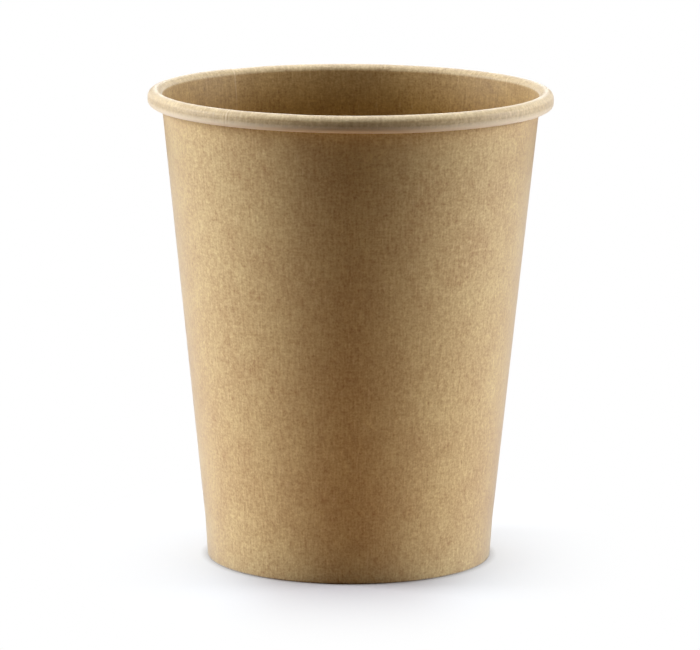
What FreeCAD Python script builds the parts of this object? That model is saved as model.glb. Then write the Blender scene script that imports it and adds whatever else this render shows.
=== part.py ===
import FreeCAD, Part
import math
import os

import Sketcher

# Single-wall paper hot cup, stood on its foot.
# Row frame: millimetres, +Z up, origin on the table under the middle of the cup.
# The cup is two pieces of board: a side wall, wrapped into a cone and lapped at one seam, whose top edge
# is rolled outward into the rim and whose lower edge is folded in and up, and a base disc, whose
# turned-down skirt is held between the wall and that fold.
#
# The side wall is one sheet, so its section is one strip: a path that follows the sheet's inner face from
# the top edge of the fold, down, round the foot, up the wall and round the roll to the tucked edge, with
# the board on the right-hand side of the path. Going round the cup, the strip is drawn three times:
# once for the plain sheet, once two boards thick for the lap, and once stepped out by one board, where
# the outer flap leaves the lap and ramps back to the plain sheet.

NODES = ["sidewall", "base_disc"]

# Driving dimensions: name, value in mm or degrees, meaning.
DRIVING = [
    ("rim_diameter", 80.0, "over the rolled rim"),
    ("cup_height", 93.5, "table to the top of the rim"),
    ("foot_diameter", 56.4, "over the foot"),
    ("side_board", 0.30, "thickness of the side wall's board"),
    ("disc_board", 0.28, "thickness of the base disc's board"),
    ("fold_height", 6.6, "table to the top edge of the fold"),
    ("band_height", 7.6, "height of the pressed band above the foot"),
    ("band_taper", 3.8, "lean of the band, degrees"),
    ("foot_bend", 0.05, "inner radius of the foot's two bends"),
    ("roll_eye", 0.18, "radius left open in the middle of the roll, at the lap"),
    ("roll_gap", 0.08, "air between the turns of the roll, at the lap"),
    ("roll_flank", 0.75, "straight flank of the roll"),
    ("tuck_turn", 50.0, "turn of the tucked edge, degrees"),
    ("seam_lap", 7.0, "width of the lap at the rim"),
    ("seam_ramp", 2.4, "width of the ramp beside the lap at the rim"),
    ("seam_azimuth", 129.0, "inner flap's cut edge, from +X, degrees"),
    ("base_height", 8.0, "table to the underside of the base disc"),
    ("disc_bend", 0.5, "inner radius of the bend into the skirt"),
    ("skirt_clearance", 0.06, "between the skirt and the board on each side"),
    ("skirt_lift", 0.30, "between the skirt's lower edge and the foot's bends"),
]

# Worked-out dimensions: name and formula in the driving ones.
WORKED_OUT = [
    ("roll_pitch", "=side_board + roll_gap / 2"),
    ("tuck_radius", "=roll_eye + 2 * side_board"),
    ("under_radius", "=tuck_radius + roll_pitch"),
    ("crown_radius", "=under_radius + roll_pitch"),
    ("crown_reach", "=rim_diameter / 2 - crown_radius"),
    ("crown_height", "=cup_height - crown_radius"),
    ("wall_radius", "=rim_diameter / 2 - 2 * crown_radius"),
    ("foot_flat", "=(disc_board + 2 * skirt_clearance - 2 * foot_bend) / cos(band_taper)"),
    ("toe_reach", "=foot_diameter / 2 - foot_bend - side_board"),
    ("toe_height", "=foot_bend + side_board"),
    ("band_rise", "=band_height - toe_height + foot_bend * sin(band_taper)"),
    ("band_reach", "=toe_reach + foot_bend * cos(band_taper) + band_rise * tan(band_taper)"),
    ("crown_out", "=crown_reach - band_reach"),
    ("crown_up", "=crown_height - band_height"),
    ("crown_away", "=sqrt(crown_out ^ 2 + crown_up ^ 2)"),
    ("wall_taper", "=(atan(crown_out / crown_up) - asin(crown_radius / crown_away)) / 1 deg"),
    ("mitre", "=sin(band_taper) + tan((wall_taper - band_taper) / 2) * cos(band_taper)"),
    ("lap_angle", "=seam_lap / wall_radius * 180 / pi"),
    ("ramp_angle", "=seam_ramp / wall_radius * 180 / pi"),
    ("sheet_angle", "=360 - lap_angle - ramp_angle"),
    ("channel_reach", "=toe_reach - foot_flat / 2"),
    ("skirt_foot", "=foot_bend + 2 * side_board + skirt_lift"),
]

doc = FreeCAD.newDocument("paper_cup")


def make_sizes():
    """The sheet of sizes: driving dimensions first, then what follows from them."""
    sizes = doc.addObject("Spreadsheet::Sheet", "sizes")
    row = 1
    for name, value, meaning in DRIVING:
        sizes.set(f"A{row}", name)
        sizes.set(f"B{row}", str(value))
        sizes.set(f"C{row}", meaning)
        sizes.setAlias(f"B{row}", name)
        row += 1
    for name, formula in WORKED_OUT:
        sizes.set(f"A{row}", name)
        sizes.set(f"B{row}", formula)
        sizes.setAlias(f"B{row}", name)
        row += 1
    doc.recompute()
    return sizes


sizes = make_sizes()


def size(name):
    """One size from the sheet, as a plain number."""
    return float(sizes.get(name))


def origin_plane(body, role):
    """One of a body's own origin planes."""
    return next(f for f in body.Origin.OriginFeatures if f.Role == role)


def section_sketch(body, name, azimuth=None):
    """A sketch in the upright plane through the axis; azimuth names the size that swings the plane."""
    sketch = body.newObject("Sketcher::SketchObject", name)
    sketch.AttachmentSupport = [(origin_plane(body, "XZ_Plane"), "")]
    sketch.MapMode = "FlatFace"
    if azimuth:
        sketch.AttachmentOffset = FreeCAD.Placement(
            FreeCAD.Vector(), FreeCAD.Rotation(FreeCAD.Vector(0, 1, 0), size(azimuth))
        )
        sketch.setExpression("AttachmentOffset.Rotation.Angle", f"sizes.{azimuth}")
    return sketch


def datum(sketch, name, constraint, expression):
    """A named driving constraint tied to the sheet."""
    index = sketch.addConstraint(constraint)
    sketch.renameConstraint(index, name)
    sketch.setExpression(f"Constraints.{name}", expression)


def polar(angle, length=1.0):
    """A vector in the sketch plane at an angle from its horizontal axis, in radians."""
    return FreeCAD.Vector(math.cos(angle) * length, math.sin(angle) * length, 0)


LEFT, RIGHT = 1, -1
UP, DOWN = math.pi / 2, -math.pi / 2
# The numbers by which a sketch knows a curve's points and its own two axes.
POINT = {name: count for count, name in enumerate(("edge", "start", "end", "centre"))}
AXIS = {name: -count for count, name in enumerate(("curve", "across", "up"))}


def sheet_path(boards):
    """The inner face's path as runs and arcs, for a strip that reaches this many boards to its right.

    A run is (start, end). An arc is (centre, radius, turn, heading in, heading out).
    """
    lean = UP - math.radians(size("band_taper"))
    wall = UP - math.radians(size("wall_taper"))
    bend, board = size("foot_bend"), size("side_board")
    crown, under, tuck = size("crown_radius"), size("under_radius"), size("tuck_radius")
    flank = FreeCAD.Vector(0, size("roll_flank"), 0)

    # The sheet stands on the table however thick it is there, and its band stays in line.
    lift = (boards - 1) * board
    toe = FreeCAD.Vector(size("toe_reach"), size("toe_height"), 0) + polar(lean, lift / math.sin(lean))
    heel = toe - FreeCAD.Vector(size("foot_flat"), 0, 0)
    band_foot = toe + polar(lean - UP, bend)
    band_top = FreeCAD.Vector(size("band_reach"), size("band_height"), 0)
    fold_foot = heel - polar(lean - UP, bend)
    fold_top = fold_foot + polar(lean) * ((size("fold_height") - fold_foot.y) / math.sin(lean))

    # The wall touches the crown's circle on its left.
    crown_centre = FreeCAD.Vector(size("crown_reach"), size("crown_height"), 0)
    wall_top = crown_centre + polar(wall + UP, crown)
    flank_top = crown_centre + FreeCAD.Vector(crown, 0, 0)
    under_centre = flank_top - flank - FreeCAD.Vector(under, 0, 0)
    tuck_foot = under_centre - FreeCAD.Vector(under, 0, 0)
    tuck_centre = tuck_foot + flank + FreeCAD.Vector(tuck, 0, 0)

    return [
        (fold_top, fold_foot),
        (heel, bend, LEFT, lean - math.pi, 0.0),
        (heel - FreeCAD.Vector(0, bend, 0), toe - FreeCAD.Vector(0, bend, 0)),
        (toe, bend, LEFT, 0.0, lean),
        (band_foot, band_top),
        (band_top, wall_top),
        (crown_centre, crown, RIGHT, wall, DOWN),
        (flank_top, flank_top - flank),
        (under_centre, under, RIGHT, DOWN, UP - 2 * math.pi),
        (tuck_foot, tuck_foot + flank),
        (tuck_centre, tuck, RIGHT, UP, UP - math.radians(size("tuck_turn"))),
    ]


# Places in the path.
FOLD, HEEL, SOLE, TOE, BAND, WALL, CROWN, FLANK, UNDER, TUCK, EDGE = range(11)
ARC_RADIUS = {
    HEEL: "foot_bend",
    TOE: "foot_bend",
    CROWN: "crown_radius",
    UNDER: "under_radius",
    EDGE: "tuck_radius",
}


def add_side(sketch, path, offset):
    """The path moved offset to its right, as sketch lines and arcs; their numbers and their ends."""
    across = FreeCAD.Vector(0, 0, 1)
    numbers, enters, leaves = [], [], []
    for segment in path:
        enter, leave = "start", "end"
        if len(segment) == 2:
            start, end = segment
            right = (end - start).normalize().cross(across) * offset
            item = Part.LineSegment(start + right, end + right)
        else:
            centre, radius, turn, heading_in, heading_out = segment
            circle = Part.Circle(centre, across, radius + turn * offset)
            ends = heading_in - turn * UP, heading_out - turn * UP
            # Sketch arcs run anticlockwise, so a right-hand arc is entered at its end.
            if turn == RIGHT:
                ends = ends[::-1]
                enter, leave = "end", "start"
            item = Part.ArcOfCircle(circle, *ends)
        numbers.append(sketch.addGeometry(item))
        enters.append(POINT[enter])
        leaves.append(POINT[leave])
    for k in range(len(path) - 1):
        kind = "Coincident" if k == BAND else "Tangent"
        joint = (numbers[k], leaves[k], numbers[k + 1], enters[k + 1])
        sketch.addConstraint(Sketcher.Constraint(kind, *joint))
    return numbers


def place(sketch, name, direction, item, point, value, expression):
    """A point's reach out from the axis or its height above the table, as a named constraint."""
    kind = {"reach": "DistanceX", "height": "DistanceY"}[direction]
    origin = (AXIS["across"], POINT["start"])
    datum(sketch, name, Sketcher.Constraint(kind, *origin, item, POINT[point], value), expression)


def add_cut_edge(sketch, near, far, point):
    """The sheet's cut edge, from a point of its near side to the same point of its far side."""
    ends = [sketch.getPoint(item, POINT[point]) for item in (near, far)]
    edge = sketch.addGeometry(Part.LineSegment(*ends))
    sketch.addConstraint(
        Sketcher.Constraint("Coincident", edge, POINT["start"], near, POINT[point])
    )
    sketch.addConstraint(Sketcher.Constraint("Coincident", edge, POINT["end"], far, POINT[point]))
    return edge


def strip_sketch(body, name, near_boards, far_boards, azimuth=None):
    """The sheet's closed section between two depths, each counted in boards from the inner face."""
    sketch = section_sketch(body, name, azimuth)
    board = size("side_board")
    path = sheet_path(far_boards)
    near = add_side(sketch, path, near_boards * board)
    far = add_side(sketch, path, far_boards * board)

    for arc, alias in ARC_RADIUS.items():
        turn = path[arc][2]
        for side, items, boards in (("near", near, near_boards), ("far", far, far_boards)):
            radius = path[arc][1] + turn * boards * board
            datum(sketch, f"{side}_radius_{arc}", Sketcher.Constraint("Radius", items[arc], radius),
                  f"sizes.{alias} + {turn * boards} * sizes.side_board")
        centre = POINT["centre"]
        sketch.addConstraint(
            Sketcher.Constraint("Coincident", near[arc], centre, far[arc], centre)
        )

    # The foot.
    toe = path[TOE][0]
    lift = f"{far_boards - 1} * sizes.side_board"
    place(sketch, "toe_reach", "reach", near[TOE], "centre", toe.x,
          f"sizes.toe_reach + {lift} * tan(sizes.band_taper)")
    place(sketch, "toe_height", "height", near[TOE], "centre", toe.y, f"sizes.toe_height + {lift}")
    sketch.addConstraint(Sketcher.Constraint("Horizontal", near[SOLE]))
    datum(sketch, "foot_flat", Sketcher.Constraint("Distance", near[SOLE], size("foot_flat")),
          "sizes.foot_flat")

    # The band, the fold and the wall; where the band meets the wall, both faces turn on one mitre.
    depth = near_boards * board
    band_top = size("band_height") - depth * size("mitre")
    fold_top = size("fold_height") + depth * math.sin(math.radians(size("band_taper")))
    datum(sketch, "band_lean",
          Sketcher.Constraint("Angle", near[BAND], POINT["start"], AXIS["up"], POINT["start"],
                              math.radians(size("band_taper"))),
          "sizes.band_taper")
    place(sketch, "band_top", "height", near[BAND], "end", band_top,
          f"sizes.band_height - {near_boards} * sizes.side_board * sizes.mitre")
    place(sketch, "fold_top", "height", near[FOLD], "start", fold_top,
          f"sizes.fold_height + {near_boards} * sizes.side_board * sin(sizes.band_taper)")
    for first, second in (
        (near[FOLD], near[BAND]),
        (far[FOLD], near[FOLD]),
        (far[BAND], near[BAND]),
        (far[WALL], near[WALL]),
    ):
        sketch.addConstraint(Sketcher.Constraint("Parallel", first, second))

    # The roll.
    crown = path[CROWN][0]
    place(sketch, "crown_reach", "reach", near[CROWN], "centre", crown.x, "sizes.crown_reach")
    place(sketch, "crown_height", "height", near[CROWN], "centre", crown.y, "sizes.crown_height")
    for run in (FLANK, TUCK):
        sketch.addConstraint(Sketcher.Constraint("Vertical", near[run]))
        datum(sketch, f"length_{run}",
              Sketcher.Constraint("Distance", near[run], size("roll_flank")), "sizes.roll_flank")

    # The sheet's two cut edges, square to it.
    fold_edge = add_cut_edge(sketch, near[FOLD], far[FOLD], "start")
    sketch.addConstraint(Sketcher.Constraint("Perpendicular", fold_edge, near[FOLD]))
    roll_edge = add_cut_edge(sketch, near[EDGE], far[EDGE], "start")
    sketch.addConstraint(
        Sketcher.Constraint("PointOnObject", near[EDGE], POINT["centre"], roll_edge)
    )
    datum(sketch, "tuck_turn",
          Sketcher.Constraint("Angle", roll_edge, POINT["end"], AXIS["across"], POINT["end"],
                              math.radians(size("tuck_turn"))),
          "sizes.tuck_turn")
    return sketch


def revolve(body, name, sketch, angle=None, reverse=False):
    """A section turned round the cup's axis, all the way or through an angle named in the sheet."""
    feature = body.newObject("PartDesign::Revolution", name)
    feature.Profile = (sketch, [])
    feature.ReferenceAxis = (sketch, ["V_Axis"])
    feature.Reversed = reverse
    feature.Angle = 360.0
    if angle:
        feature.setExpression("Angle", f"sizes.{angle}")
    return feature


def make_sidewall():
    """The wrapped sheet: plain round most of the cup, two boards thick at the lap, stepped beside it."""
    body = doc.addObject("PartDesign::Body", "sidewall")
    plain_section = strip_sketch(body, "plain_section", 0, 1)
    revolve(body, "plain_sheet", plain_section, "sheet_angle", reverse=True)
    lap_section = strip_sketch(body, "lap_section", 0, 2, "ramp_angle")
    revolve(body, "seam_lap", lap_section, "lap_angle")
    step_section = strip_sketch(body, "step_section", 1, 2, "ramp_angle")
    ramp = body.newObject("PartDesign::AdditiveLoft", "seam_ramp")
    ramp.Profile = (step_section, [])
    ramp.Sections = [(plain_section, [""])]
    ramp.Ruled = True
    body.setExpression("Placement.Rotation.Angle", "sizes.seam_azimuth - sizes.ramp_angle")


def make_base_disc():
    """The disc, its bend and its skirt, which leans with the band and hangs midway in the fold."""
    body = doc.addObject("PartDesign::Body", "base_disc")
    sketch = section_sketch(body, "disc_section")
    board, bend = size("disc_board"), size("disc_bend")
    lean = UP - math.radians(size("band_taper"))
    side = polar(lean - UP)
    underside = size("base_height")
    bend_height = underside - bend
    channel = FreeCAD.Vector(size("channel_reach"), size("toe_height"), 0)

    def up_the_lean(point, height):
        return point + polar(lean) * ((height - point.y) / math.sin(lean))

    centre = up_the_lean(channel, bend_height)
    centre.x -= (bend + board / 2) / math.sin(lean)
    outer_foot = up_the_lean(channel + side * (board / 2), size("skirt_foot"))
    inner_foot = outer_foot - side * board

    across = FreeCAD.Vector(0, 0, 1)
    inner_circle = Part.Circle(centre, across, bend)
    outer_circle = Part.Circle(centre, across, bend + board)
    under_middle = FreeCAD.Vector(0, underside, 0)
    top_middle = under_middle + FreeCAD.Vector(0, board, 0)
    middle, top, outer_bend, outer, foot, inner, inner_bend, under = [
        sketch.addGeometry(item)
        for item in (
            Part.LineSegment(under_middle, top_middle),
            Part.LineSegment(top_middle, centre + FreeCAD.Vector(0, bend + board, 0)),
            Part.ArcOfCircle(outer_circle, lean - UP, UP),
            Part.LineSegment(centre + side * (bend + board), outer_foot),
            Part.LineSegment(outer_foot, inner_foot),
            Part.LineSegment(inner_foot, centre + side * bend),
            Part.ArcOfCircle(inner_circle, lean - UP, UP),
            Part.LineSegment(centre + FreeCAD.Vector(0, bend, 0), under_middle),
        )
    ]
    # The middle line of the channel between the wall and the fold, for construction only.
    channel_line = sketch.addGeometry(
        Part.LineSegment(channel, up_the_lean(channel, bend_height)), True
    )
    start, end, centre_point = POINT["start"], POINT["end"], POINT["centre"]
    for kind, *places in (
        ("Coincident", middle, end, top, start),
        ("Tangent", top, end, outer_bend, end),
        ("Tangent", outer_bend, start, outer, start),
        ("Coincident", outer, end, foot, start),
        ("Coincident", foot, end, inner, start),
        ("Tangent", inner, end, inner_bend, start),
        ("Tangent", inner_bend, end, under, start),
        ("Coincident", under, end, middle, start),
        ("Coincident", inner_bend, centre_point, outer_bend, centre_point),
        ("PointOnObject", middle, start, AXIS["up"]),
        ("PointOnObject", middle, end, AXIS["up"]),
        ("Horizontal", under),
        ("Horizontal", top),
        ("Perpendicular", foot, outer),
        ("Parallel", outer, channel_line),
        ("Parallel", inner, channel_line),
    ):
        sketch.addConstraint(Sketcher.Constraint(kind, *places))
    datum(sketch, "inner_bend", Sketcher.Constraint("Radius", inner_bend, bend), "sizes.disc_bend")
    datum(sketch, "outer_bend", Sketcher.Constraint("Radius", outer_bend, bend + board),
          "sizes.disc_bend + sizes.disc_board")
    datum(sketch, "skirt_middle",
          Sketcher.Constraint("Distance", channel_line, start, outer, board / 2),
          "sizes.disc_board / 2")
    datum(sketch, "channel_lean",
          Sketcher.Constraint("Angle", channel_line, start, AXIS["up"], start, UP - lean),
          "sizes.band_taper")
    place(sketch, "underside", "height", middle, "start", underside, "sizes.base_height")
    place(sketch, "skirt_foot", "height", outer, "end", size("skirt_foot"), "sizes.skirt_foot")
    place(sketch, "channel_reach", "reach", channel_line, "start", channel.x, "sizes.channel_reach")
    place(sketch, "channel_height", "height", channel_line, "start", channel.y, "sizes.toe_height")
    place(sketch, "channel_top", "height", channel_line, "end", bend_height,
          "sizes.base_height - sizes.disc_bend")
    revolve(body, "pressed_disc", sketch)


def write_parts():
    """Each sub-part's solid in a file of its own, once every object has computed."""
    doc.recompute()
    failed = [item.Label for item in doc.Objects if {"Invalid", "Error"} & set(item.State)]
    if failed:
        raise RuntimeError(f"not computed: {failed}")
    os.makedirs("parts", exist_ok=True)
    for node in NODES:
        shape = doc.getObject(node).Shape
        if shape.isNull() or not shape.isValid() or len(shape.Solids) != 1:
            raise RuntimeError(f"{node} isn't one valid solid")
        shape.exportStep(f"parts/{node}.step")
        print(f"{node}: {shape.Volume:.1f} cubic mm, {len(shape.Faces)} faces")


make_sidewall()
make_base_disc()
write_parts()
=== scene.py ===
import math

import bpy
import numpy as np
from mathutils import Matrix, Vector


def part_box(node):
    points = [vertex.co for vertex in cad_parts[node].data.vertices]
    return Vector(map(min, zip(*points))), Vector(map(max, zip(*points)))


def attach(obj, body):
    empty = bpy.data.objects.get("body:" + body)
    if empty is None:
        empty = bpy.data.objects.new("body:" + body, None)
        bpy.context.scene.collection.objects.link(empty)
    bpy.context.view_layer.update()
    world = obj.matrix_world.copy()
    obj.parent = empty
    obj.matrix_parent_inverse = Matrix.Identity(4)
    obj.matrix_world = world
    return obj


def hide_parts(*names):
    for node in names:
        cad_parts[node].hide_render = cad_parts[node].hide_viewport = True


# Looks of the single-wall kraft paper cup: the wrapped sheet of the side wall, the base disc, the stage.
# The cup's lengths are millimetres until its meshes are made, where MM turns them into metres.
# The lamps' and the floor's lengths are metres.
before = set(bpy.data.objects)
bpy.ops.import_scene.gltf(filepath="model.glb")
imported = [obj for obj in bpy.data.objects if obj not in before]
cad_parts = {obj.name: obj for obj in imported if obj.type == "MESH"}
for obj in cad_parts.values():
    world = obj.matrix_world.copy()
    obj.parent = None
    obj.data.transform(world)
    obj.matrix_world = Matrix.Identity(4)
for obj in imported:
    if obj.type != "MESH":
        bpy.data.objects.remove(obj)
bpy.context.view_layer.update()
wall_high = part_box("sidewall")[1]
disc_low, disc_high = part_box("base_disc")

MM = 0.001
FULL_TURN = 2 * math.pi
UP, DOWN = math.pi / 2, -math.pi / 2
LEFT, RIGHT = 1, -1
SEED = 11

# Sizes of the side wall, as in the CAD source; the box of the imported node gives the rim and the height.
RIM_RADIUS = wall_high.x / MM
CUP_HEIGHT = wall_high.z / MM
FOOT_RADIUS = 28.2
BOARD = 0.30
FOLD_HEIGHT = 6.6
BAND_HEIGHT = 7.6
BAND_TAPER = math.radians(3.8)
FOOT_BEND = 0.05
ROLL_EYE = 0.18
ROLL_GAP = 0.08
ROLL_FLANK = 0.75
TUCK_TURN = math.radians(50)
SEAM_LAP = 7.0
SEAM_RAMP = 2.4
SEAM_AZIMUTH = math.radians(129)

# Sizes of the base disc, as in the CAD source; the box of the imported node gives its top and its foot.
DISC_BOARD = 0.28
DISC_TOP = disc_high.z / MM
SKIRT_FOOT = disc_low.z / MM
DISC_BEND = 0.5
SKIRT_CLEARANCE = 0.06

# Worked out from them.
PITCH = BOARD + ROLL_GAP / 2
TUCK_RADIUS = ROLL_EYE + 2 * BOARD
UNDER_RADIUS = TUCK_RADIUS + PITCH
CROWN_RADIUS = UNDER_RADIUS + PITCH
CROWN_REACH = RIM_RADIUS - CROWN_RADIUS
CROWN_HEIGHT = CUP_HEIGHT - CROWN_RADIUS
WALL_RADIUS = RIM_RADIUS - 2 * CROWN_RADIUS
FOOT_FLAT = (DISC_BOARD + 2 * SKIRT_CLEARANCE - 2 * FOOT_BEND) / math.cos(BAND_TAPER)
TOE_REACH = FOOT_RADIUS - FOOT_BEND - BOARD
TOE_HEIGHT = FOOT_BEND + BOARD
LAP_ANGLE = SEAM_LAP / WALL_RADIUS
RAMP_ANGLE = SEAM_RAMP / WALL_RADIUS

# The lap is pressed thinner than two loose boards, most of all in the roll, and the sheet eases into it.
# The roll's pressing starts this far below the crown's centre and is full after this rise.
LAP_PRESS = 0.85
ROLL_PRESS = 0.38
PRESS_START = 3
PRESS_RISE = 2.5
LAP_EASE = math.radians(16)
FLAP_TUCK = 0.03
FLAP_GAP = 0.01

# Pale lines on the flaps' cut edges: their width, the depth below the rim where the inner one fades, and how
# much of it is left further down. Near the rim the inner line is also a painted highlight, where light
# catches the edge.
EDGE_LINE = 0.45
SEAM_HIGHLIGHT_DEPTH = 4.0
EDGE_FAINT = 0.08

# The coated face is turned out to be seen from just below the crown's centre, and wholly after this rise.
TURN_START = 0.2
TURN_FADE = 0.9
PAST_CROWN = ("flank", "under", "tuck", "edge")

# Heights between which the wall is softly uneven, and over which that grows and fades.
WAVE_FOOT = 12
WAVE_RISE = 25
WAVE_TOP = 86
WAVE_FALL = 20

# Unevenness round the cup: how many waves each turn has, and their size. Each wave's share is drawn.
WALL_WAVES = ((2, 3, 5, 8), 0.05)
SLOW_WANDER = ((3, 4, 7, 11, 17), 0.018)
QUICK_WANDER = ((29, 43, 61, 83), 0.006)
HANG_WAVES = ((2, 5, 9), 0.03)
DISC_WARP = ((2, 3, 5), 0.06)
PLEAT_WANDER = ((31, 47), 0.008)
DRAWN_SHARE = (0.5, 1.0)

# The roll hangs lower on one side, and the rim is tilted by a share of its radius.
ROLL_DROOP = 0.12
RIM_TILT = 0.0012
TILT_START = 84
TILT_RISE = 6

# Knurls pressed into the fold, seen from below.
KNURLS = 110
KNURL_DEPTH = 0.045

# Rows of the sheet over which a field fades in, and how far into its fade the painted light on the roll's
# underside starts; that paint stands in for light from the floor below.
CROWN_FADE_ROWS = 4
KNURL_FADE_ROWS = 1.5
UNDERLIGHT_FADE_ROWS = 3.5
UNDERLIGHT_LEAD_ROWS = 1.5

# Creases of the roll, stretch by stretch: azimuth and spread in degrees, number of creases, depth.
CREASES = [
    (234.0, 3.6, 13, 0.065),
    (301.0, 3.6, 6, 0.035),
    (262.0, 5.0, 3, 0.020),
    (200.0, 7.0, 5, 0.030),
    (331.0, 6.0, 4, 0.028),
    (24.0, 8.0, 5, 0.035),
    (71.0, 7.0, 4, 0.030),
    (165.0, 8.0, 6, 0.035),
]

# A crease's least and greatest width in degrees, the share of its depth that its shoulders rise, how much
# it pales the board, and the depth from which it does so in full.
CREASE_WIDTHS = (0.14, 0.34)
CREASE_SHOULDER = 0.5
CREASE_PALING = 0.45
CREASE_FULL_DEPTH = 0.06

# How finely the sheet is divided: rows along its section, columns round the cup. The columns stand closer
# together where the roll is creased and where the sheet steps onto its lap.
ROWS = {
    "fold": 4, "heel": 4, "sole": 2, "toe": 5, "band": 5, "wall": 12,
    "crown": 14, "flank": 2, "under": 10, "tuck": 1, "edge": 4,
}
COLUMNS = 740
DENSITY_STEPS = 8000
CREASE_DENSITY = 50
CREASE_DENSITY_SPREAD = 1.3
STEP_DENSITY = 1.5

# How finely the disc is divided, from the rim of its hub outward.
DISC_HUB = 1.5
DISC_RINGS = 22
DISC_BEND_STEPS = 7
SKIRT_STEPS = 7
DISC_COLUMNS = 300

# The disc's faint dome and pressed ring, whose place is a share of the flat's reach, and its skirt's pleats.
DOME = 0.22
RING_DEPTH = 0.10
RING_PLACE = 0.86
RING_WIDTH = 0.8
PLEATS = 75
PLEAT_DEPTH = 0.022
PLEAT_LEAD_ROWS = 2
PLEAT_FADE_ROWS = 4

# Offsets of the faces on the flat sheet, so that no two faces have the same grain.
WALL_FACES_APART = 40.0
DISC_FACE_TOP = 30.0
DISC_FACE_UNDER = 60.0

# Each finish's number in the list that make_boards gives, and the angle from which an edge is sharp.
INNER, OUTER, CUT_EDGE, ROLLED = range(4)
SHARP_ANGLE = math.radians(42)

rng = np.random.default_rng(SEED)


def polar(angle, length=1.0):
    return np.array([math.cos(angle), math.sin(angle)]) * length


def smooth(x):
    """Nought to one with a soft start and end."""
    x = np.clip(x, 0.0, 1.0)
    return x * x * (3 - 2 * x)


def bump(x, middle, width):
    return np.exp(-(((x - middle) / width) ** 2))


# The sheet's section: its inner face as a path of runs and arcs, with the board on the path's right.
def run(start, end, count):
    share = np.arange(count)[:, None] / count
    heading = (end - start) / np.linalg.norm(end - start)
    right = np.array([heading[1], -heading[0]])
    return start + share * (end - start), np.repeat(right[None], count, axis=0)


def arc(centre, radius, turn, heading_in, heading_out, count, closed=False):
    share = np.arange(count + 1 if closed else count) / count
    heading = heading_in + share * (heading_out - heading_in)
    right = np.stack([np.sin(heading), -np.cos(heading)], axis=1)
    return centre + right * radius * turn, right


def sheet_section():
    """Points of the inner face, the unit vectors into the board, each row's part, and the band's lean."""
    lean = UP - BAND_TAPER
    toe = np.array([TOE_REACH, TOE_HEIGHT])
    heel = toe - np.array([FOOT_FLAT, 0.0])
    band_foot = toe + polar(lean - UP, FOOT_BEND)
    band_rise = BAND_HEIGHT - band_foot[1]
    band_top = np.array([band_foot[0] + band_rise * math.tan(BAND_TAPER), BAND_HEIGHT])
    fold_foot = heel - polar(lean - UP, FOOT_BEND)
    fold_top = fold_foot + polar(lean) * ((FOLD_HEIGHT - fold_foot[1]) / math.sin(lean))

    # The wall touches the crown's circle on its left.
    crown = np.array([CROWN_REACH, CROWN_HEIGHT])
    away = crown - band_top
    taper = math.atan(away[0] / away[1]) - math.asin(CROWN_RADIUS / np.linalg.norm(away))
    wall = UP - taper
    wall_top = crown + polar(wall + UP, CROWN_RADIUS)
    flank = np.array([0.0, ROLL_FLANK])
    flank_top = crown + np.array([CROWN_RADIUS, 0.0])
    under = flank_top - flank - np.array([UNDER_RADIUS, 0.0])
    tuck_foot = under - np.array([UNDER_RADIUS, 0.0])
    tuck = tuck_foot + flank + np.array([TUCK_RADIUS, 0.0])
    pieces = {
        "fold": run(fold_top, fold_foot, ROWS["fold"]),
        "heel": arc(heel, FOOT_BEND, LEFT, lean - math.pi, 0.0, ROWS["heel"]),
        "sole": run(heel - [0.0, FOOT_BEND], toe - [0.0, FOOT_BEND], ROWS["sole"]),
        "toe": arc(toe, FOOT_BEND, LEFT, 0.0, lean, ROWS["toe"]),
        "band": run(band_foot, band_top, ROWS["band"]),
        "wall": run(band_top, wall_top, ROWS["wall"]),
        "crown": arc(crown, CROWN_RADIUS, RIGHT, wall, DOWN, ROWS["crown"]),
        "flank": run(flank_top, flank_top - flank, ROWS["flank"]),
        "under": arc(under, UNDER_RADIUS, RIGHT, DOWN, UP - FULL_TURN, ROWS["under"]),
        "tuck": run(tuck_foot, tuck_foot + flank, ROWS["tuck"]),
        "edge": arc(tuck, TUCK_RADIUS, RIGHT, UP, UP - TUCK_TURN, ROWS["edge"], closed=True),
    }
    points = np.concatenate([part[0] for part in pieces.values()])
    rights = np.concatenate([part[1] for part in pieces.values()])
    parts = np.concatenate([[name] * len(part[0]) for name, part in pieces.items()])
    return points, rights, parts, polar(lean)


def rows_of(parts, *names):
    return np.flatnonzero(np.isin(parts, names))


def column_azimuths():
    first = SEAM_AZIMUTH
    last = SEAM_AZIMUTH + FULL_TURN + LAP_ANGLE
    fine = np.linspace(first, last, DENSITY_STEPS + 1)
    density = np.ones_like(fine)
    for azimuth, spread, _, depth in CREASES:
        middle = math.radians(azimuth)
        middle += FULL_TURN if middle < first else 0.0
        width = math.radians(spread) * CREASE_DENSITY_SPREAD
        density += CREASE_DENSITY * depth * bump(fine, middle, width)
    density += STEP_DENSITY * bump(fine, SEAM_AZIMUTH + FULL_TURN - RAMP_ANGLE / 2, RAMP_ANGLE)
    total = np.concatenate([[0.0], np.cumsum((density[1:] + density[:-1]) / 2)])
    return np.interp(np.linspace(0.0, total[-1], COLUMNS + 1), total, fine)


def waves(azimuth, orders, size):
    """Seeded unevenness that closes on itself round the cup."""
    total = np.zeros_like(azimuth)
    for order in orders:
        phase = rng.uniform(0, FULL_TURN)
        share = rng.uniform(*DRAWN_SHARE)
        total += np.sin(order * azimuth + phase) * share
    return size * total / math.sqrt(len(orders))


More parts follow.
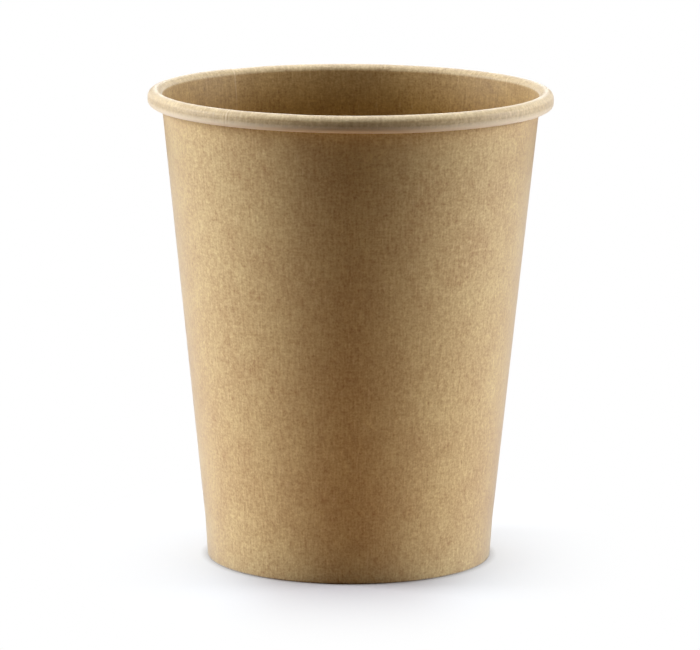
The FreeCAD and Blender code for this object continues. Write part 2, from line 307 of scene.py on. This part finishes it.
def crease_field(azimuth):
    """How far the creases of the roll go in, by azimuth alone, and how much each has paled the board."""
    inward, pale = np.zeros_like(azimuth), np.zeros_like(azimuth)
    for middle, spread, count, depth in CREASES:
        for place in rng.normal(middle, spread, count):
            width = math.radians(rng.uniform(*CREASE_WIDTHS))
            turn = (azimuth - math.radians(place) + math.pi) % FULL_TURN - math.pi
            strength = rng.uniform(*DRAWN_SHARE)
            shoulders = CREASE_SHOULDER * bump(turn, 0.0, 2 * width)
            inward += depth * strength * (bump(turn, 0.0, width) - shoulders)
            fullness = min(1.0, depth / CREASE_FULL_DEPTH)
            pale += CREASE_PALING * strength * fullness * bump(turn, width, width)
    return inward, np.clip(pale, 0, 1)


def make_mesh(name, points, faces, materials, face_materials):
    mesh = bpy.data.meshes.new(name)
    mesh.from_pydata((points * MM).tolist(), [], faces)
    for material in materials:
        mesh.materials.append(material)
    mesh.polygons.foreach_set("material_index", face_materials)
    mesh.polygons.foreach_set("use_smooth", [True] * len(faces))
    mesh.set_sharp_from_angle(angle=SHARP_ANGLE)
    piece = bpy.data.objects.new(name, mesh)
    bpy.context.scene.collection.objects.link(piece)
    return piece


def give_attribute(piece, name, kind, values):
    field = {"FLOAT": "value", "FLOAT_VECTOR": "vector"}[kind]
    attribute = piece.data.attributes.new(name, kind, "POINT")
    attribute.data.foreach_set(field, np.asarray(values, np.float32).ravel())


def face_points(reach, z, azimuth):
    """The points of one face, row by row, from their distance from the axis and their height."""
    return np.stack([reach * np.cos(azimuth), reach * np.sin(azimuth), z], axis=2).reshape(-1, 3)


def both_faces(at, r, c):
    """The quads of the sheet's two faces in one cell, each facing away from the board."""
    first = (at(0, r, c), at(0, r + 1, c), at(0, r + 1, c + 1), at(0, r, c + 1))
    second = (at(1, r, c), at(1, r, c + 1), at(1, r + 1, c + 1), at(1, r + 1, c))
    return [first, second]


def lap_thickness(height, azimuth):
    """How far out the sheet's inner face stands, how thick it is, and how far the lap lifts the foot.

    The last flap lies outside the first, with a hair of room so that their faces don't coincide.
    """
    end = SEAM_AZIMUTH + FULL_TURN
    lap_step = smooth((azimuth - (end - LAP_EASE)) / LAP_EASE)
    under_lap = 1 - smooth((azimuth - SEAM_AZIMUTH - LAP_ANGLE) / LAP_EASE)
    flap_edge = 1 - smooth((azimuth - SEAM_AZIMUTH) / RAMP_ANGLE)
    at_roll = smooth((height - CROWN_HEIGHT + PRESS_START) / PRESS_RISE)
    press = LAP_PRESS + at_roll * (ROLL_PRESS - LAP_PRESS)
    pressed = np.maximum(lap_step, under_lap)
    board = BOARD * (1 - np.outer(1 - press, pressed))
    depth = np.outer(press * BOARD + FLAP_GAP, lap_step) + np.outer(at_roll * FLAP_TUCK, flap_edge)
    lift = pressed * ((2 * LAP_PRESS - 1) * BOARD + FLAP_GAP)
    return depth, board, lift


def foot_share(parts):
    """How much of the foot's lift each row takes: all at the sole, none above the fold and the band."""
    share = np.zeros(len(parts))
    fold = rows_of(parts, "fold")
    band = rows_of(parts, "band")
    share[fold] = np.arange(len(fold)) / len(fold)
    share[rows_of(parts, "heel", "sole", "toe")] = 1.0
    share[band] = 1 - np.arange(len(band)) / len(band)
    return share


def roll_share(parts):
    """How much of the roll's unevenness each row takes: it grows over the crown and fades underneath."""
    share = np.isin(parts, ("crown", "flank", "under")).astype(float)
    crown = rows_of(parts, "crown")
    under = rows_of(parts, "under")
    share[crown] *= smooth(np.arange(len(crown)) / CROWN_FADE_ROWS)
    share[under] *= 1 - smooth(np.arange(len(under)) / (len(under) - 1))
    return share


def knurl_share(parts):
    share = np.zeros(len(parts))
    fold = rows_of(parts, "fold")
    share[fold] = smooth(np.arange(len(fold)) / KNURL_FADE_ROWS)
    return share


def unevenness(parts, height, azimuth):
    """How far each point of the sheet goes in and hangs lower, and how much its creases pale each column."""
    wander = waves(azimuth, *SLOW_WANDER) + waves(azimuth, *QUICK_WANDER)
    in_wall = smooth((height - WAVE_FOOT) / WAVE_RISE) * smooth((WAVE_TOP - height) / WAVE_FALL)
    inward = np.outer(in_wall * (parts == "wall"), waves(azimuth, *WALL_WAVES))
    marks_and_seam_highlight, paled = crease_field(azimuth)
    inward += np.outer(roll_share(parts), wander + marks_and_seam_highlight)
    knurl = 0.5 + 0.5 * np.cos(KNURLS * azimuth)
    inward += np.outer(knurl_share(parts), KNURL_DEPTH * knurl)
    hang = ROLL_DROOP * np.cos(azimuth) + waves(azimuth, *HANG_WAVES)
    lowered = np.outer(np.isin(parts, PAST_CROWN), hang)
    return inward, lowered, paled


def strip_faces(rows, columns, turned):
    """The quads of the strip's two faces and its four cut edges, and the finish of each."""
    def at(layer, row, column):
        return layer * rows * columns + row * columns + column

    faces, kinds = [], []
    for r in range(rows - 1):
        facing_in = ROLLED if turned[r] > 0.5 else INNER
        for c in range(columns - 1):
            faces += both_faces(at, r, c)
            kinds += [facing_in, OUTER]
    top = rows - 1
    for c in range(columns - 1):
        faces.append((at(0, 0, c), at(0, 0, c + 1), at(1, 0, c + 1), at(1, 0, c)))
        faces.append((at(0, top, c), at(1, top, c), at(1, top, c + 1), at(0, top, c + 1)))
        kinds += [CUT_EDGE, CUT_EDGE]
    last = columns - 1
    for r in range(rows - 1):
        faces.append((at(0, r, 0), at(1, r, 0), at(1, r + 1, 0), at(0, r + 1, 0)))
        faces.append((at(0, r, last), at(0, r + 1, last), at(1, r + 1, last), at(1, r, last)))
        kinds += [CUT_EDGE, CUT_EDGE]
    return faces, kinds


def flat_sheet(points, azimuth):
    """Place on the flat sheet, in metres, for grain that runs with the board."""
    rows, columns = len(points), len(azimuth)
    steps = np.linalg.norm(np.diff(points, axis=0), axis=1)
    along = np.concatenate([[0.0], np.cumsum(steps)])
    around = azimuth * (WALL_RADIUS + FOOT_RADIUS) / 2
    x = np.repeat(around[None], rows, axis=0).reshape(-1)
    y = np.repeat(along[:, None], columns, axis=1).reshape(-1)
    faces = [np.stack([x, y, np.full_like(x, WALL_FACES_APART * layer)], axis=1) for layer in (0, 1)]
    return np.concatenate(faces) * MM


def pale_marks_and_seam_highlight(parts, height, azimuth, paled):
    """How pale each point is from the roll's creases and from the cut edges of the two flaps, with a painted
    highlight on the inner flap's edge near the rim.
    """
    seam_line = 1 - smooth((azimuth - SEAM_AZIMUTH) * WALL_RADIUS / EDGE_LINE)
    flap_line = 1 - smooth((azimuth[-1] - azimuth) * WALL_RADIUS / EDGE_LINE)
    # The inner flap's edge is painted brightest near the rim: a painted highlight on its pale cut edge.
    seam_highlight = smooth((height - (CUP_HEIGHT - SEAM_HIGHLIGHT_DEPTH)) / SEAM_HIGHLIGHT_DEPTH)
    marks = np.outer(roll_share(parts), paled)
    marks += np.outer(EDGE_FAINT + (1 - EDGE_FAINT) * seam_highlight, seam_line)
    marks += flap_line
    return np.clip(marks, 0, 1)


def underlight_share(parts):
    """How much painted light each row of the roll's underside and tuck gets, standing in for light from the
    floor below.
    """
    share = np.zeros(len(parts))
    under = rows_of(parts, "under")
    share[under] = smooth((np.arange(len(under)) + UNDERLIGHT_LEAD_ROWS) / UNDERLIGHT_FADE_ROWS)
    share[rows_of(parts, "tuck", "edge")] = 1.0
    return share


def make_wall(materials):
    """The wrapped sheet with its fold, lap and roll, as one closed strip that is a board thick."""
    points, rights, parts, lean = sheet_section()
    azimuth = column_azimuths()
    height = points[:, 1]
    depth, board, lift = lap_thickness(height, azimuth)
    inward, lowered, paled = unevenness(parts, height, azimuth)
    lifted = np.outer(foot_share(parts), lift)
    tilt = np.outer(smooth((height - TILT_START) / TILT_RISE), RIM_TILT * RIM_RADIUS * np.cos(azimuth))
    layers = []
    for layer in (0, 1):
        out = depth + layer * board + inward
        reach = points[:, :1] + rights[:, :1] * out + lifted * lean[0] / lean[1]
        z = points[:, 1:] + rights[:, 1:] * out + lifted - lowered - tilt
        layers.append(face_points(reach, z, azimuth))

    turning = smooth((height - (CROWN_HEIGHT - TURN_START)) / TURN_FADE)
    turned = np.where(np.isin(parts, PAST_CROWN), 1.0, turning)
    faces, kinds = strip_faces(len(points), len(azimuth), turned)
    piece = make_mesh("kraft_wall", np.concatenate(layers), faces, materials, kinds)
    give_attribute(piece, "sheet", "FLOAT_VECTOR", flat_sheet(points, azimuth))
    # The roll's underside gets painted light in its colour, standing in for light from the floor below.
    for name, field in (("turned", turned), ("painted_underlight", underlight_share(parts))):
        give_attribute(piece, name, "FLOAT", np.tile(np.repeat(field, len(azimuth)), 2))
    # Pale creases and cut edges, with a painted highlight on the seam's edge near the rim.
    marks = pale_marks_and_seam_highlight(parts, height, azimuth, paled)
    give_attribute(piece, "marks_and_seam_highlight", "FLOAT", np.tile(marks.reshape(-1), 2))
    return piece


def disc_section():
    """The disc's upper face from its middle to its skirt's foot, and the unit vectors out of the board."""
    lean = UP - BAND_TAPER
    channel = np.array([TOE_REACH - FOOT_FLAT / 2, TOE_HEIGHT])
    bend_height = DISC_TOP - DISC_BOARD - DISC_BEND
    middle = channel + polar(lean) * ((bend_height - channel[1]) / math.sin(lean))
    centre = middle - np.array([(DISC_BEND + DISC_BOARD / 2) / math.sin(lean), 0.0])
    radii = np.concatenate([[0.0], np.linspace(DISC_HUB, centre[0], DISC_RINGS)])
    flat = np.stack([radii, np.full_like(radii, DISC_TOP)], axis=1)
    turn = np.linspace(UP, lean - UP, DISC_BEND_STEPS + 1)[1:]
    round_turn = np.stack([np.cos(turn), np.sin(turn)], axis=1)
    corner = centre + (DISC_BEND + DISC_BOARD) * round_turn
    foot = corner[-1] - polar(lean) * ((corner[-1][1] - SKIRT_FOOT) / math.sin(lean))
    skirt = corner[-1] + np.linspace(0, 1, SKIRT_STEPS + 1)[1:, None] * (foot - corner[-1])
    outward = np.concatenate([
        np.tile([0.0, 1.0], (len(flat), 1)),
        round_turn,
        np.tile(polar(lean - UP), (len(skirt), 1)),
    ])
    return flat, corner, skirt, outward


def disc_faces(rows, columns):
    """The faces of the disc's two sides and of its skirt's cut edge, and the finish of each."""
    def at(layer, row, column):
        return layer * rows * columns + row * columns + column % columns

    faces, kinds = [], []
    last = rows - 1
    for c in range(columns):
        faces.append((at(0, 0, 0), at(0, 1, c), at(0, 1, c + 1)))
        faces.append((at(1, 0, 0), at(1, 1, c + 1), at(1, 1, c)))
        kinds += [INNER, OUTER]
        for r in range(1, rows - 1):
            faces += both_faces(at, r, c)
            kinds += [INNER, OUTER]
        faces.append((at(0, last, c), at(1, last, c), at(1, last, c + 1), at(0, last, c + 1)))
        kinds.append(CUT_EDGE)
    return faces, kinds


def make_disc(materials):
    """The base disc: a slightly domed sheet, its bend and its finely pleated skirt."""
    flat, corner, skirt, outward = disc_section()
    path = np.concatenate([flat, corner, skirt])
    rows, columns = len(path), DISC_COLUMNS
    azimuth = np.arange(columns) * FULL_TURN / columns

    # A faint dome, a pressed ring and a slow warp on the flat; pleats on the skirt.
    top_reach = flat[-1, 0]
    share = np.clip(path[:, 0] / top_reach, 0, 1)
    on_flat = np.arange(rows) < len(flat)
    ring = RING_DEPTH * bump(path[:, 0], RING_PLACE * top_reach, RING_WIDTH)
    rise = on_flat * (DOME * (1 - share**2) - ring)
    warp = np.outer(on_flat * share * (1 - share) * 4, waves(azimuth, *DISC_WARP))
    past_corner = np.arange(rows) - len(flat) - len(corner)
    on_skirt = np.clip((past_corner + PLEAT_LEAD_ROWS) / PLEAT_FADE_ROWS, 0, 1)
    pleat = PLEAT_DEPTH * np.cos(PLEATS * azimuth) + waves(azimuth, *PLEAT_WANDER)
    pleats = np.outer(on_skirt, pleat)
    layers = []
    for layer in (0, 1):
        out = pleats - layer * DISC_BOARD
        reach = path[:, :1] + outward[:, :1] * out
        z = path[:, 1:] + outward[:, 1:] * out + rise[:, None] + warp
        layers.append(face_points(reach, z, azimuth))
    vertices = np.concatenate(layers)

    # The middle is one point on each side, so its other copies are left out.
    faces, kinds = disc_faces(rows, columns)
    used = sorted({vertex for face in faces for vertex in face})
    renumber = {old: new for new, old in enumerate(used)}
    faces = [tuple(renumber[vertex] for vertex in face) for face in faces]
    piece = make_mesh("kraft_base", vertices[used], faces, materials, kinds)
    sheet = vertices.copy()
    sheet[: rows * columns, 2] += DISC_FACE_TOP
    sheet[rows * columns:, 2] += DISC_FACE_UNDER
    give_attribute(piece, "sheet", "FLOAT_VECTOR", sheet[used] * MM)
    for name in ("turned", "painted_underlight", "marks_and_seam_highlight"):
        give_attribute(piece, name, "FLOAT", np.zeros(len(used)))
    return piece


class Nodes:
    """A short way to wire a material's or a world's nodes."""

    def __init__(self, owner):
        owner.use_nodes = True
        self.tree = owner.node_tree
        self.tree.nodes.clear()

    def add(self, kind, inputs=(), **settings):
        node = self.tree.nodes.new(kind)
        for name, value in settings.items():
            setattr(node, name, value)
        for name, value in dict(inputs).items():
            if isinstance(value, bpy.types.NodeSocket):
                self.tree.links.new(value, node.inputs[name])
            else:
                node.inputs[name].default_value = value
        return node

    def field(self, name, output="Fac"):
        return self.add("ShaderNodeAttribute", attribute_name=name).outputs[output]

    def noise(self, vector, scale, detail, roughness, distortion=0.0):
        values = {"Vector": vector, "Scale": scale, "Detail": detail}
        values.update({"Roughness": roughness, "Distortion": distortion})
        return self.add("ShaderNodeTexNoise", values).outputs[0]

    def math(self, operation, *values):
        return self.add("ShaderNodeMath", dict(enumerate(values)), operation=operation).outputs[0]

    def length(self, vector):
        return self.add("ShaderNodeVectorMath", {0: vector}, operation="LENGTH").outputs["Value"]

    def total(self, middle, fields, weights):
        """middle plus each weighed field's distance from a half, times its weight."""
        value = middle
        for name, weight in weights.items():
            value = self.math("MULTIPLY_ADD", self.math("SUBTRACT", fields[name], 0.5), weight, value)
        return value

    def span(self, value, low, high, to_low=0.0, to_high=1.0, smoothed=False):
        kind = "SMOOTHSTEP" if smoothed else "LINEAR"
        names = {"Value": value, "From Min": low, "From Max": high, "To Min": to_low, "To Max": to_high}
        return self.add("ShaderNodeMapRange", names, interpolation_type=kind, clamp=True).outputs[0]

    def mix(self, factor, first, second):
        node = self.add("ShaderNodeMix", data_type="RGBA", blend_type="MIX", clamp_factor=True)
        for name, value in (("Factor_Float", factor), ("A_Color", first), ("B_Color", second)):
            socket = next(item for item in node.inputs if item.identifier == name)
            if isinstance(value, bpy.types.NodeSocket):
                self.tree.links.new(value, socket)
            else:
                socket.default_value = value
        return next(item for item in node.outputs if item.identifier == "Result_Color")

    def mix_shaders(self, factor, first, second):
        values = {0: factor, 1: first.outputs[0], 2: second.outputs[0]}
        return self.add("ShaderNodeMixShader", values)

    def seen_plainly(self):
        """One for the camera's own rays and for those that a gloss or a clear part sends on, else nought."""
        paths = self.add("ShaderNodeLightPath")
        through = self.math("MAXIMUM", paths.outputs["Is Glossy Ray"], paths.outputs["Is Transmission Ray"])
        return self.math("MAXIMUM", paths.outputs["Is Camera Ray"], through)

    def stretched(self, vector, scale, turn=0.0):
        inputs = {"Vector": vector, "Scale": scale, "Rotation": (0.0, 0.0, turn)}
        return self.add("ShaderNodeMapping", inputs, vector_type="POINT").outputs["Vector"]


# Noises of the board: scale per metre of sheet, detail, roughness, and distortion where there is any.
FINE = (2500.0, 2.0, 0.5)
CLUMPS = (1100.0, 2.0, 0.5, 0.3)
CLOUDS = (210.0, 2.0, 0.5)
BROAD = (62.0, 1.0, 0.5)
GRAIN = (2300.0, 2.0, 0.6)
CROSS = (2100.0, 2.0, 0.6, 0.6)
FLECKS = (1250.0, 1.0, 0.5)

# How the sheet is stretched and turned, in radians, for the noises that run along it or across it.
GRAIN_STRETCH = (1.0, 0.14, 1.0)
CROSS_STRETCH = (0.2, 1.0, 1.0)
CROSS_TURN = 0.5
FLECK_STRETCH = (1.0, 0.45, 1.0)
FLECK_TURN = 0.3

# How much each noise counts in the board's tone, its relief and its gloss.
MIDDLE = 0.5
TONE_WEIGHTS = {"fine": 0.74, "clumps": 0.64, "clouds": 0.36, "broad": 0.24, "grain": 0.58, "cross": 0.24}
RELIEF_WEIGHTS = {"fine": 0.5, "clumps": 0.6, "grain": 0.5, "cross": 0.3}
GLOSS_WEIGHTS = {"clumps": 0.25, "fine": 0.2}

# Where in its noise a pale fibre or a dark fleck starts and is full, and how strongly each mark covers.
FIBRE_SPAN = (0.62, 0.78)
FLECK_SPAN = (0.70, 0.80)
FLECK_COVER = 0.55
# How strongly the painted light on the roll's underside covers the board.
UNDERLIGHT_COVER = 0.95
# How strongly the creases, the cut edges and the painted seam highlight cover the board.
MARK_AND_HIGHLIGHT_COVER = 0.45
SHEEN_ROUGHNESS = 0.48

# Darkest and lightest tones of the board, and the colours of its marks.
KRAFT = ((0.335, 0.131, 0.017, 1.0), (0.890, 0.762, 0.378, 1.0))
COATED = ((0.15, 0.064, 0.006, 1.0), (0.50, 0.303, 0.080, 1.0))
TURNED = ((0.265, 0.156, 0.058, 1.0), (0.74, 0.610, 0.362, 1.0))
CUT = ((0.50, 0.340, 0.160, 1.0), (0.80, 0.620, 0.380, 1.0))
KRAFT_FIBRE = (0.80, 0.60, 0.36, 1.0)
# Painted light on the roll's underside, standing in for light from the floor below.
PAINTED_UNDERLIGHT = (1.0, 0.90, 0.71, 1.0)
# Pale creases and cut edges; on the seam's inner edge near the rim it is a painted highlight.
MARK_AND_HIGHLIGHT_PALE = (0.84, 0.70, 0.50, 1.0)

# Finishes in the order of INNER, OUTER, CUT_EDGE and ROLLED: name, tones, tones where the board is turned
# out, cover of the pale fibres, roughness, index of refraction, sheen, and depth of the relief.
FINISHES = [
    ("coated_board", COATED, TURNED, 0.18, 0.55, 1.30, 0.15, 0.009),
    ("plain_board", KRAFT, KRAFT, 0.40, 0.50, 1.35, 1.0, 0.013),
    ("cut_board", CUT, CUT, 0.40, 0.80, 1.40, 0.2, 0.030),
    ("rolled_board", COATED, TURNED, 0.18, 0.50, 1.40, 0.6, 0.009),
]


def board_noises(nodes, sheet):
    return {
        "fine": nodes.noise(sheet, *FINE),
        "clumps": nodes.noise(sheet, *CLUMPS),
        "clouds": nodes.noise(sheet, *CLOUDS),
        "broad": nodes.noise(sheet, *BROAD),
        "grain": nodes.noise(nodes.stretched(sheet, GRAIN_STRETCH), *GRAIN),
        "cross": nodes.noise(nodes.stretched(sheet, CROSS_STRETCH, CROSS_TURN), *CROSS),
    }


def board_colour(nodes, sheet, noises, ends, turned_ends, streaks):
    """Kraft tones with pale fibres and dark flecks, then painted light on the roll's underside, then the
    pale creases and cut edges, with a painted highlight on the seam's inner edge.
    """
    tone = nodes.total(MIDDLE, noises, TONE_WEIGHTS)
    turned = nodes.field("turned")
    dark, light = (nodes.mix(turned, flat, out) for flat, out in zip(ends, turned_ends))
    colour = nodes.mix(tone, dark, light)
    colour = nodes.mix(nodes.span(noises["grain"], *FIBRE_SPAN, 0.0, streaks), colour, KRAFT_FIBRE)
    flecks = nodes.noise(nodes.stretched(sheet, FLECK_STRETCH, FLECK_TURN), *FLECKS)
    colour = nodes.mix(nodes.span(flecks, *FLECK_SPAN, 0.0, FLECK_COVER), colour, dark)
    # Painted light on the roll's underside, standing in for light from the floor below.
    colour = nodes.mix(nodes.math("MULTIPLY", nodes.field("painted_underlight"), UNDERLIGHT_COVER), colour, PAINTED_UNDERLIGHT)
    # Pale creases and cut edges, with the painted highlight on the seam's edge.
    return nodes.mix(nodes.math("MULTIPLY", nodes.field("marks_and_seam_highlight"), MARK_AND_HIGHLIGHT_COVER), colour, MARK_AND_HIGHLIGHT_PALE)


def board_material(name, ends, turned_ends, streaks, roughness, ior, sheen, bump_depth):
    """Kraft board: speckled fibres, soft clouds, streaks along the grain, and sparse dark shives."""
    material = bpy.data.materials.new(name)
    nodes = Nodes(material)
    sheet = nodes.field("sheet", "Vector")
    noises = board_noises(nodes, sheet)
    colour = board_colour(nodes, sheet, noises, ends, turned_ends, streaks)
    height = nodes.total(MIDDLE, noises, RELIEF_WEIGHTS)
    relief = nodes.add("ShaderNodeBump", {"Height": height, "Strength": 1.0, "Distance": bump_depth * MM})
    gloss = nodes.total(roughness, noises, GLOSS_WEIGHTS)
    shader = nodes.add("ShaderNodeBsdfPrincipled", {
        "Base Color": colour, "Roughness": gloss, "Normal": relief.outputs["Normal"], "IOR": ior,
        "Sheen Weight": sheen, "Sheen Roughness": SHEEN_ROUGHNESS,
    })
    nodes.add("ShaderNodeOutputMaterial", {"Surface": shader.outputs[0]})
    return material


def make_boards():
    return [board_material(*finish) for finish in FINISHES]


# The camera: its focal length in pixels of a picture this wide, its place in millimetres, how many degrees
# it looks down, and how far it is turned about its own axis, in radians.
FOCAL_PIXELS = 5138
PICTURE_WIDTH = 700
SENSOR_WIDTH = 36.0
CAMERA_PLACE = (0.056, -1004, 227.8)
CAMERA_DOWN = 10.25
CAMERA_ROLL = 0.0045
CLIP_START = 0.05
CLIP_END = 20.0


def make_camera():
    data = bpy.data.cameras.new("camera")
    data.sensor_width = SENSOR_WIDTH
    data.lens = FOCAL_PIXELS / PICTURE_WIDTH * SENSOR_WIDTH
    data.clip_start = CLIP_START
    data.clip_end = CLIP_END
    camera = bpy.data.objects.new("camera", data)
    bpy.context.scene.collection.objects.link(camera)
    place = Matrix.Translation([value * MM for value in CAMERA_PLACE])
    pitch = Matrix.Rotation(math.radians(90 - CAMERA_DOWN), 4, "X")
    roll = Matrix.Rotation(CAMERA_ROLL, 4, "Z")
    camera.matrix_world = place @ pitch @ roll
    bpy.context.scene.camera = camera


# Soft boxes, as seen from the cup: azimuth from the camera, to the right, and elevation in degrees, then
# distance, width and height, and radiance. A lit white face shows radiance times the box's share of view.
LAMPS = [
    ("lamp_left", -96, 17, 0.83, 0.34, 0.50, 15.6),
    ("lamp_right", 97, 11, 0.83, 0.34, 0.50, 13.7),
    ("lamp_top", 180, 83, 1.00, 0.90, 1.10, 4.2),
]
LAMP_AIM = (0.0, 0.0, 0.06)


def make_lamp(name, place, aim, width, height, radiance):
    """A soft box of a plain radiance, facing a point."""
    data = bpy.data.lights.new(name, "AREA")
    data.shape = "RECTANGLE"
    data.size = width
    data.size_y = height
    data.energy = math.pi * radiance * width * height
    lamp = bpy.data.objects.new(name, data)
    bpy.context.scene.collection.objects.link(lamp)
    direction = np.array(place) - np.array(aim)
    facing = Vector(direction).to_track_quat("Z", "Y").to_matrix().to_4x4()
    lamp.matrix_world = Matrix.Translation(place) @ facing


def make_lamps():
    for name, azimuth, elevation, distance, width, height, radiance in LAMPS:
        turn, rise = math.radians(azimuth), math.radians(elevation)
        flat = distance * math.cos(rise)
        place = (flat * math.sin(turn), -flat * math.cos(turn), LAMP_AIM[2] + distance * math.sin(rise))
        make_lamp(name, place, LAMP_AIM, width, height, radiance)


BLACK = (0.0, 0.0, 0.0, 1.0)
WHITE = (1.0, 1.0, 1.0, 1.0)
AMBIENT = 0.02


def make_world():
    """Nearly dark to the surfaces, and plain white to the camera and in what is glossy."""
    world = bpy.data.worlds.new("studio")
    bpy.context.scene.world = world
    nodes = Nodes(world)
    strength = nodes.math("MAXIMUM", nodes.seen_plainly(), AMBIENT)
    background = nodes.add("ShaderNodeBackground", {"Color": WHITE, "Strength": strength})
    nodes.add("ShaderNodeOutputWorld", {"Surface": background.outputs[0]})


FLOOR_HALF = 2.5

# The floor that lights the cup, with its shade and its pool of light painted into its colour: painted shade
# dims it at the foot, it is full from FOOT_REACH, and dimmer again past the pool.
FLOOR_ALBEDO = 0.455
FLOOR_WARMTH = (1.0, 0.60, 0.33, 1.0)
FOOT_ALBEDO = 0.20
FOOT_REACH = 0.050
POOL_RADIUS = 0.06
POOL_EDGE = 0.20
POOL_OUTSIDE = 0.15

# The floor that the camera sees: shade in an oval round the foot, darker in front than beside it.
SHADE_WIDTH = 1.40
SHADE_RADIUS = 0.031
SHADE_EDGE = 0.083
BESIDE_START = 0.010
BESIDE_END = 0.030
FRONT_SHADE = (0.585, 0.58, 0.615, 1.0)
SIDE_SHADE = (0.765, 0.815, 0.895, 1.0)
CONTACT_SHADE = (0.16, 0.13, 0.10, 1.0)
CONTACT_REACH = 0.0016
CONTACT_SAMPLES = 8


def lighting_floor(nodes, place):
    distance = nodes.length(place)
    # Painted shade at the foot, then a painted pool of light round the cup that fades past its edge.
    near = nodes.span(distance, MM * FOOT_RADIUS, FOOT_REACH, FOOT_ALBEDO, FLOOR_ALBEDO, smoothed=True)
    far = nodes.span(distance, POOL_RADIUS, POOL_EDGE, 1.0, POOL_OUTSIDE, smoothed=True)
    albedo = nodes.mix(nodes.math("MULTIPLY", near, far), BLACK, FLOOR_WARMTH)
    return nodes.add("ShaderNodeBsdfDiffuse", {"Color": albedo})


def shown_floor(nodes, place):
    sideways = nodes.math("ABSOLUTE", nodes.add("ShaderNodeSeparateXYZ", {"Vector": place}).outputs["X"])
    beside = nodes.span(sideways, BESIDE_START, BESIDE_END, smoothed=True)
    contact = nodes.add("ShaderNodeAmbientOcclusion", {"Distance": CONTACT_REACH}, samples=CONTACT_SAMPLES)
    shade = nodes.mix(contact.outputs["AO"], CONTACT_SHADE, nodes.mix(beside, FRONT_SHADE, SIDE_SHADE))
    shaded = nodes.add("ShaderNodeBsdfDiffuse", {"Color": shade})
    white = nodes.add("ShaderNodeEmission", {"Color": WHITE, "Strength": 1.0})
    reach = nodes.length(nodes.stretched(place, (SHADE_WIDTH, 1.0, 1.0)))
    within = nodes.span(reach, SHADE_RADIUS, SHADE_EDGE, 1.0, 0.0)
    away = nodes.math("SUBTRACT", 1.0, nodes.math("MULTIPLY", within, within))
    return nodes.mix_shaders(away, shaded, white)


def floor_material():
    """White to the camera but for the cup's shade, warm and dim to the cup, and clear from below."""
    material = bpy.data.materials.new("floor_paper")
    nodes = Nodes(material)
    place = nodes.add("ShaderNodeTexCoord").outputs["Object"]
    dim = lighting_floor(nodes, place)
    shown = shown_floor(nodes, place)
    lit = nodes.mix_shaders(nodes.seen_plainly(), dim, shown)
    clear = nodes.add("ShaderNodeBsdfTransparent")
    camera_ray = nodes.add("ShaderNodeLightPath").outputs["Is Camera Ray"]
    below = nodes.math("MULTIPLY", nodes.add("ShaderNodeNewGeometry").outputs["Backfacing"], camera_ray)
    surface = nodes.mix_shaders(below, lit, clear)
    nodes.add("ShaderNodeOutputMaterial", {"Surface": surface.outputs[0]})
    return material


def make_floor():
    half = FLOOR_HALF
    corners = [(-half, -half, 0), (half, -half, 0), (half, half, 0), (-half, half, 0)]
    mesh = bpy.data.meshes.new("floor")
    mesh.from_pydata(corners, [], [(0, 1, 2, 3)])
    mesh.materials.append(floor_material())
    floor = bpy.data.objects.new("floor", mesh)
    bpy.context.scene.collection.objects.link(floor)


bpy.context.scene.view_settings.view_transform = "Standard"
make_camera()
make_lamps()
make_world()
make_floor()
boards = make_boards()
wall = make_wall(boards)
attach(wall, "root")
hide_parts("sidewall")
base = make_disc(boards)
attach(base, "root")
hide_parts("base_disc")
